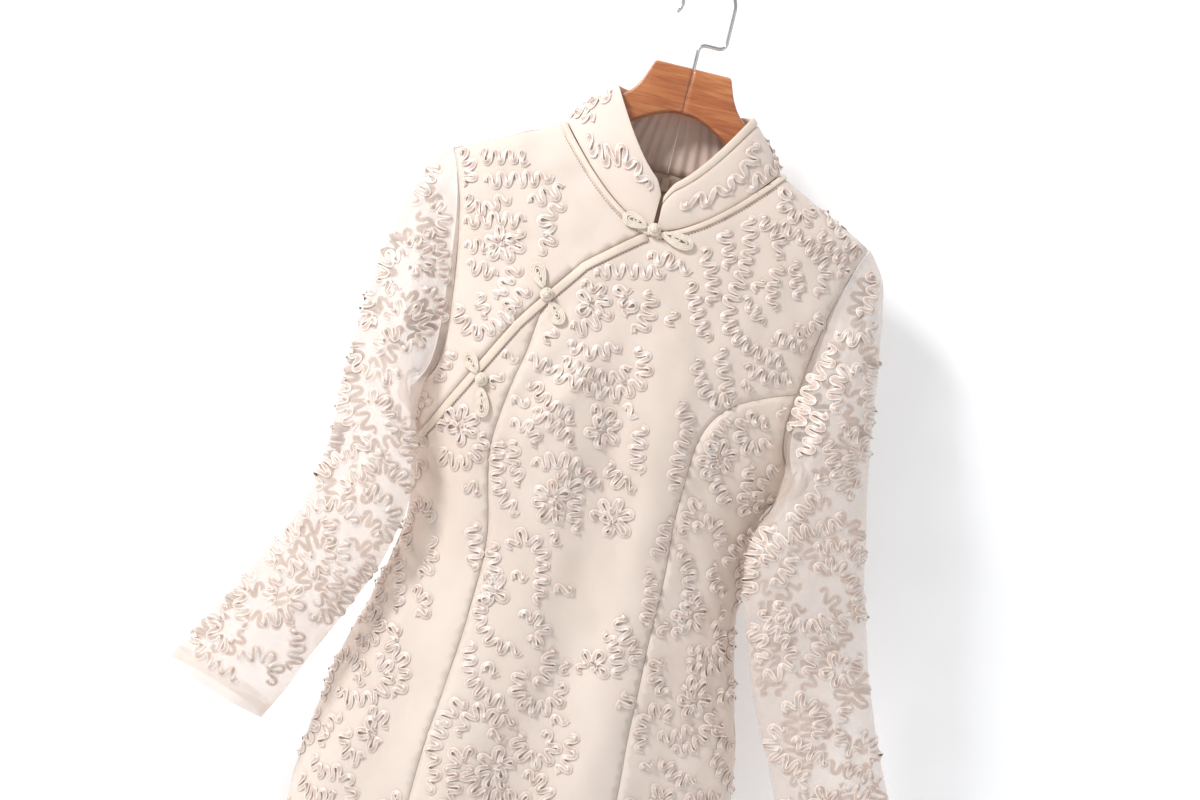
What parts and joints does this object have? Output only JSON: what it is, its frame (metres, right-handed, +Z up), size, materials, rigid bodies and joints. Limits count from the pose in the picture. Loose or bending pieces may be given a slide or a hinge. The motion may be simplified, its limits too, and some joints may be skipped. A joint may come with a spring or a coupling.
{
  "type": "cheongsam dress on wooden hanger",
  "caption": "Knee-length cheongsam dress with ribbon applique, sheer sleeves, a mandarin collar and frog fastenings, hung on a wooden hanger with a wire hook.",
  "frame": {"origin": "Under the crown of the hanger's hook, where a rail would hold it.", "axes": "+Z is up along the hanging dress, -Y is the front of the dress, +X is to the right of someone who faces the front."},
  "size_m": [0.642, 0.1355, 1.1533],
  "materials": {
    "cream_crepe": "soft matte crepe with ribbon applique",
    "sheer_net": "sheer net with ribbon applique",
    "blush_lining": "soft lining, gathered",
    "cream_binding": "satin crepe binding",
    "ivory_cord": "round satin cord",
    "beige_tape": "woven tape",
    "enamelled_beige": "semi-gloss enamel",
    "lacquered_wood": "clear lacquer",
    "chrome_wire": "polished"
  },
  "bodies": {
    "dress": {"front_main": "cream_crepe", "front_under": "cream_crepe", "side_front_left": "cream_crepe", "side_front_right": "cream_crepe", "back_left": "cream_crepe", "back_right": "cream_crepe", "sleeve_left": "sheer_net", "sleeve_right": "sheer_net", "collar_left": "cream_crepe", "collar_right": "cream_crepe", "collar_binding": "cream_binding", "neck_piping_left": "cream_binding", "neck_piping_right": "cream_binding", "opening_band": "cream_binding", "collar_lining_left": "blush_lining", "collar_lining_right": "blush_lining", "frog_1_upper": "ivory_cord", "frog_1_lower": "ivory_cord", "frog_1_loop": "ivory_cord", "frog_1_knot": "ivory_cord", "frog_2_upper": "ivory_cord", "frog_2_lower": "ivory_cord", "frog_2_loop": "ivory_cord", "frog_2_knot": "ivory_cord", "frog_3_upper": "ivory_cord", "frog_3_lower": "ivory_cord", "frog_3_loop": "ivory_cord", "frog_3_knot": "ivory_cord", "zip_teeth": "enamelled_beige", "zip_tape": "beige_tape", "zip_slider": "enamelled_beige", "hanger": "lacquered_wood", "hook": "chrome_wire"},
    "zip_pull": {"zip_pull": "enamelled_beige"}
  },
  "joints": [
    {"name": "zip_pull_hinge", "type": "hinge", "parent": "dress", "child": "zip_pull", "pos_m": [0, 0.0353, -0.1766], "axis": [1, 0, 0], "range_deg": [0, 165]}
  ]
}
